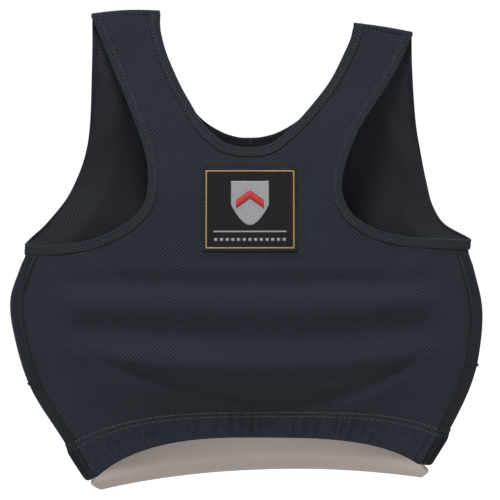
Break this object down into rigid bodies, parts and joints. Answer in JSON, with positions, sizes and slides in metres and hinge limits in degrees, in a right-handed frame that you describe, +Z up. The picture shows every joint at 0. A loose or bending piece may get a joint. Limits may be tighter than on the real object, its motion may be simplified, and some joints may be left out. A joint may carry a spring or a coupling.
{
  "type": "chest protector",
  "caption": "Racerback sports top that holds a one-piece moulded bust guard in a pocket between its knit front and a mesh lining.",
  "frame": {"origin": "on the axis of the wearer's body, at the level of the guard's lowest corner", "axes": "+Z up as worn, -Y the way the wearer faces, +X to the wearer's left"},
  "size_m": [0.3771, 0.0976, 0.387],
  "materials": {
    "guard_plastic": "semi-matt moulded polyethylene, warm grey",
    "lining_mesh": "open mesh knit, near-black navy",
    "smooth_knit": "smooth stretch knit, black with a blue cast, soft sheen",
    "mesh_knit": "eyelet-mesh knit, black with a blue cast",
    "knit_binding": "folded stretch knit with a twin-needle stitch",
    "seam_thread": "overlocked polyester thread",
    "elastic": "braided elastic",
    "woven_label": "damask-woven label with a metallic gold border"
  },
  "bodies": {
    "garment": {"pocket_lining": "lining_mesh", "front_upper_panel": "smooth_knit", "front_lower_panel": "smooth_knit", "underbust_seam": "seam_thread", "back_panel": "mesh_knit", "side_seam_left": "seam_thread", "side_seam_right": "seam_thread", "shoulder_seam_left": "seam_thread", "shoulder_seam_right": "seam_thread", "neck_binding": "knit_binding", "armhole_binding_left": "knit_binding", "armhole_binding_right": "knit_binding", "waist_elastic": "elastic", "hem_band_front": "smooth_knit", "hem_band_back": "mesh_knit", "label_patch": "woven_label"},
    "guard": {"guard_shell": "guard_plastic"}
  },
  "joints": [
    {"name": "guard_slide", "type": "slide", "parent": "garment", "child": "guard", "axis": [0, 0, -1], "range_m": [0, 0.25], "deforming": ["pocket_lining", "front_upper_panel", "front_lower_panel", "underbust_seam", "side_seam_left", "side_seam_right", "waist_elastic", "hem_band_front"]}
  ]
}
